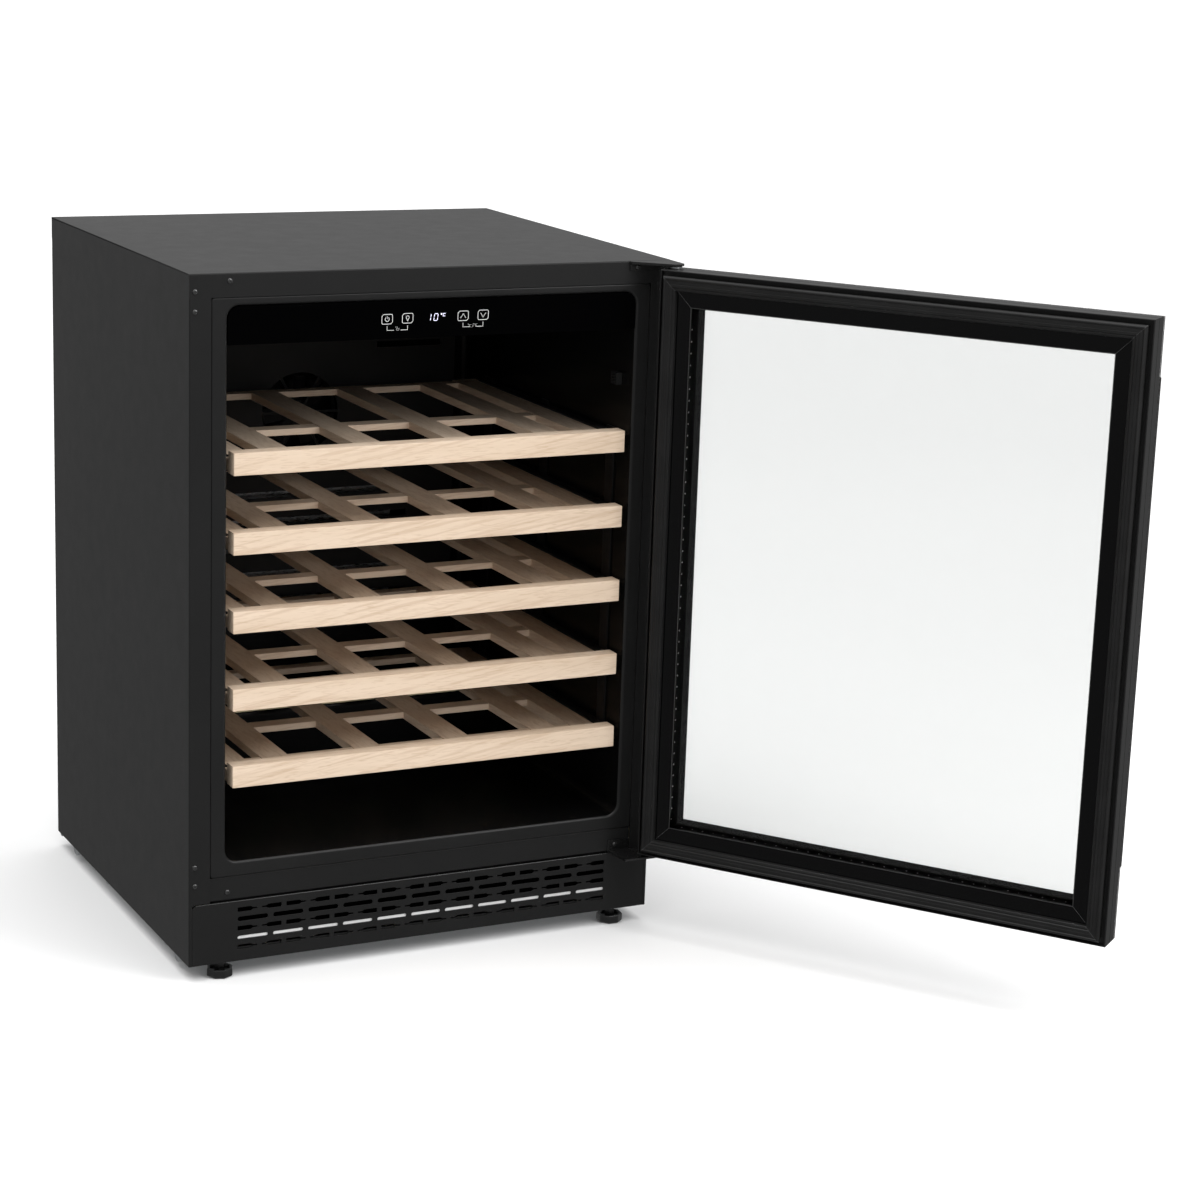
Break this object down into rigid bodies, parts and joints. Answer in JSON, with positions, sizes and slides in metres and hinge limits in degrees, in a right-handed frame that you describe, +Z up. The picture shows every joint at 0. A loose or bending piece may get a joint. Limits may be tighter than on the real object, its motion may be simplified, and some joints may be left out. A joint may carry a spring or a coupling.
{
  "type": "undercounter wine cooler",
  "caption": "Black undercounter wine cooler with a framed glass side-hinged door, pull-out wooden shelves, a touch control strip, a vented kick plate and levelling feet.",
  "frame": {"origin": "centre of the underside of the base pan, with the levelling feet reaching below it", "axes": "+Z up; -Y towards the door side; +X to the right of someone facing the door, which is the hinge side"},
  "size_m": [0.948, 1.0494, 0.826],
  "materials": {
    "black_steel": "satin",
    "galvanised_steel": "satin",
    "black_plastic": "matte",
    "gloss_black": "gloss",
    "foam": "matte",
    "circuit_board": "satin",
    "lamp_lens": "satin",
    "aluminium": "satin",
    "copper": "satin",
    "rubber": "matte",
    "clear_glass": "polished",
    "beech": "satin"
  },
  "bodies": {
    "cabinet": {"side_panel_left": "black_steel", "side_panel_right": "black_steel", "top_panel": "black_steel", "rear_panel": "galvanised_steel", "base_pan": "galvanised_steel", "bottom_crossbar": "black_steel", "kick_grille": "black_steel", "intake_filter": "black_plastic", "liner": "black_plastic", "insulation_foam": "foam", "rear_cover": "galvanised_steel", "power_inlet": "black_plastic", "control_panel": "gloss_black", "control_housing": "black_plastic", "control_board": "circuit_board", "light_bar": "lamp_lens", "temperature_sensor": "black_plastic", "evaporator": "aluminium", "air_duct_cover": "black_plastic", "circulation_fan_motor": "black_plastic", "shelf_rack_left": "black_plastic", "shelf_rack_right": "black_plastic", "compressor": "black_steel", "compressor_terminal_cover": "black_plastic", "compressor_grommet_1": "rubber", "compressor_grommet_2": "rubber", "compressor_grommet_3": "rubber", "compressor_grommet_4": "rubber", "condenser": "aluminium", "condenser_fan_shroud": "black_plastic", "drip_tray": "black_plastic", "filter_drier": "copper", "discharge_pipe": "copper", "hinge_top_plate": "black_steel", "hinge_bottom_bracket": "black_steel", "hinge_pin_top": "galvanised_steel", "hinge_pin_bottom": "galvanised_steel"},
    "door": {"door_frame": "black_plastic", "door_inner_trim": "gloss_black", "door_glass_inner": "clear_glass", "glass_spacer": "aluminium", "door_glass_outer": "clear_glass", "door_gasket": "rubber", "door_handle": "black_steel"},
    "shelf_1": {"shelf_1_board": "beech", "shelf_1_frame": "beech"},
    "shelf_2": {"shelf_2_board": "beech", "shelf_2_frame": "beech"},
    "shelf_3": {"shelf_3_board": "beech", "shelf_3_frame": "beech"},
    "shelf_4": {"shelf_4_board": "beech", "shelf_4_frame": "beech"},
    "shelf_5": {"shelf_5_board": "beech", "shelf_5_frame": "beech"},
    "circulation_fan": {"circulation_fan_rotor": "black_plastic"},
    "condenser_fan": {"condenser_fan_rotor": "black_plastic"},
    "foot_front_left": {"foot_front_left": "black_plastic"},
    "foot_front_right": {"foot_front_right": "black_plastic"},
    "foot_rear_left": {"foot_rear_left": "black_plastic"},
    "foot_rear_right": {"foot_rear_right": "black_plastic"}
  },
  "joints": [
    {"name": "door_hinge", "type": "hinge", "parent": "cabinet", "child": "door", "pos_m": [0.288, -0.296, 0.44], "axis": [0, 0, 1], "range_deg": [-126.2, 4]},
    {"name": "shelf_1_slide", "type": "slide", "parent": "cabinet", "child": "shelf_1", "axis": [0, -1, 0], "range_m": [0, 0.28]},
    {"name": "shelf_2_slide", "type": "slide", "parent": "cabinet", "child": "shelf_2", "axis": [0, -1, 0], "range_m": [0, 0.28]},
    {"name": "shelf_3_slide", "type": "slide", "parent": "cabinet", "child": "shelf_3", "axis": [0, -1, 0], "range_m": [0, 0.28]},
    {"name": "shelf_4_slide", "type": "slide", "parent": "cabinet", "child": "shelf_4", "axis": [0, -1, 0], "range_m": [0, 0.28]},
    {"name": "shelf_5_slide", "type": "slide", "parent": "cabinet", "child": "shelf_5", "axis": [0, -1, 0], "range_m": [0, 0.28]},
    {"name": "circulation_fan_spin", "type": "hinge", "parent": "cabinet", "child": "circulation_fan", "pos_m": [0, 0.184, 0.56], "axis": [0, 1, 0], "continuous": true},
    {"name": "condenser_fan_spin", "type": "hinge", "parent": "cabinet", "child": "condenser_fan", "pos_m": [0.072, 0.18, 0.084], "axis": [1, 0, 0], "continuous": true},
    {"name": "foot_front_left_adjust", "type": "slide", "parent": "cabinet", "child": "foot_front_left", "axis": [0, 0, -1], "range_m": [0, 0.014]},
    {"name": "foot_front_right_adjust", "type": "slide", "parent": "cabinet", "child": "foot_front_right", "axis": [0, 0, -1], "range_m": [0, 0.014]},
    {"name": "foot_rear_left_adjust", "type": "slide", "parent": "cabinet", "child": "foot_rear_left", "axis": [0, 0, -1], "range_m": [0, 0.014]},
    {"name": "foot_rear_right_adjust", "type": "slide", "parent": "cabinet", "child": "foot_rear_right", "axis": [0, 0, -1], "range_m": [0, 0.014]}
  ]
}
